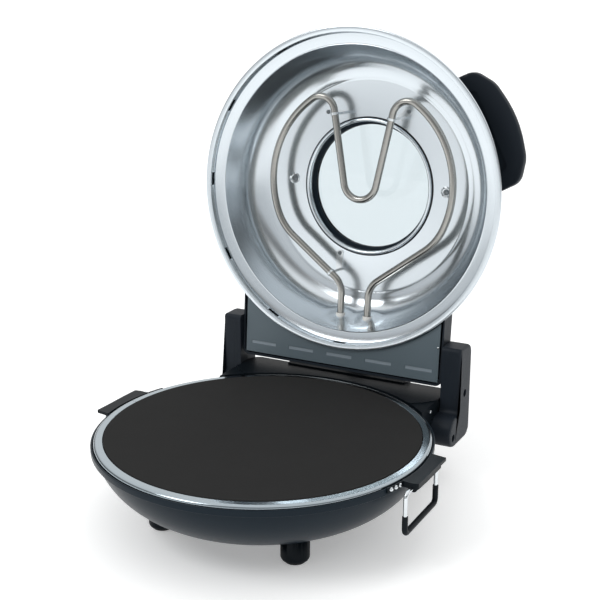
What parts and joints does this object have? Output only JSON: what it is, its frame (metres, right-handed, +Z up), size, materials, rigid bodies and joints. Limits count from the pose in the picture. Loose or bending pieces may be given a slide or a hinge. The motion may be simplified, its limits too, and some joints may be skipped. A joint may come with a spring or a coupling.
{
  "type": "electric pizza maker",
  "caption": "Tabletop pizza oven: round baking stone in a steel bowl base, domed lid with heater and window on a rear hinge, swinging carrying bails.",
  "frame": {"origin": "on the table plane, below the middle of the part's overall width and depth with the lid open", "axes": "+Z up, +Y towards the hinge and the open lid, +X to the right seen from the front; the stone's axis is at y = -0.04729 m"},
  "size_m": [0.355, 0.4236, 0.4575],
  "materials": {
    "bowl_paint": "satin dark grey-blue paint on steel sheet",
    "ring_steel": "bright brushed steel",
    "stone": "matte dark fired cordierite stone",
    "inner_steel": "satin spun steel, brushed round the dome",
    "element": "warm grey stainless sheath, lightly heat tinted",
    "clip_steel": "bright steel strip",
    "housing_plastic": "fine grained black heat-resistant plastic",
    "knob_plastic": "smooth black plastic",
    "panel_paint": "satin grey paint on steel sheet",
    "pad_rubber": "soft black rubber",
    "chrome_wire": "plated steel wire",
    "fastener_steel": "zinc-plated steel",
    "insulator": "white fired ceramic",
    "thermostat_case": "stamped aluminium can",
    "glass": "clear tempered glass",
    "lamp_red": "translucent red lens"
  },
  "bodies": {
    "base": {"base_bowl": "bowl_paint", "stone_ring": "ring_steel", "pizza_stone": "stone", "base_reflector": "inner_steel", "lower_heating_element": "element", "lower_element_clips": "clip_steel", "front_left_foot": "housing_plastic", "front_right_foot": "housing_plastic", "rear_left_foot": "housing_plastic", "rear_right_foot": "housing_plastic", "foot_pads": "pad_rubber", "foot_screws": "fastener_steel", "rear_housing": "housing_plastic", "housing_cover": "housing_plastic", "terminal_block": "insulator", "cord_gland": "housing_plastic", "left_bracket": "housing_plastic", "right_bracket": "housing_plastic", "bracket_rivets": "fastener_steel", "left_arm": "housing_plastic", "right_arm": "housing_plastic", "left_arm_cover": "housing_plastic", "right_arm_cover": "housing_plastic", "arm_bolts": "fastener_steel", "arm_screws": "fastener_steel", "left_pivot_pin": "fastener_steel", "right_pivot_pin": "fastener_steel"},
    "lid": {"lid_shell": "bowl_paint", "lid_reflector": "inner_steel", "window_ring": "inner_steel", "window_gasket": "pad_rubber", "window_glass": "glass", "window_bezel": "housing_plastic", "upper_heating_element": "element", "upper_element_clips": "clip_steel", "element_bushings": "insulator", "reflector_screws": "fastener_steel", "lid_box": "housing_plastic", "lid_box_panel": "panel_paint", "thermostat": "thermostat_case", "pilot_lenses": "lamp_red", "left_lid_handle": "housing_plastic", "right_lid_handle": "housing_plastic", "handle_screws": "fastener_steel"},
    "knob": {"control_knob": "knob_plastic", "knob_shaft": "fastener_steel"},
    "left_bail": {"left_bail": "chrome_wire", "left_bail_sleeve": "housing_plastic"},
    "right_bail": {"right_bail": "chrome_wire", "right_bail_sleeve": "housing_plastic"}
  },
  "joints": [
    {"name": "lid_hinge", "type": "hinge", "parent": "base", "child": "lid", "pos_m": [0, 0.13321, 0.1076], "axis": [1, 0, 0], "range_deg": [0, 94.5]},
    {"name": "knob_turn", "type": "hinge", "parent": "lid", "child": "knob", "pos_m": [0, 0.15526, 0.1189], "axis": [0, 0.7559, -0.6547], "range_deg": [-270, 0]},
    {"name": "right_bail_hinge", "type": "hinge", "parent": "base", "child": "right_bail", "pos_m": [0.17, -0.04729, 0.0793], "axis": [0, -1, 0], "range_deg": [-25, 90]},
    {"name": "left_bail_hinge", "type": "hinge", "parent": "base", "child": "left_bail", "pos_m": [-0.17, -0.04729, 0.0793], "axis": [0, 1, 0], "range_deg": [-25, 90]}
  ]
}
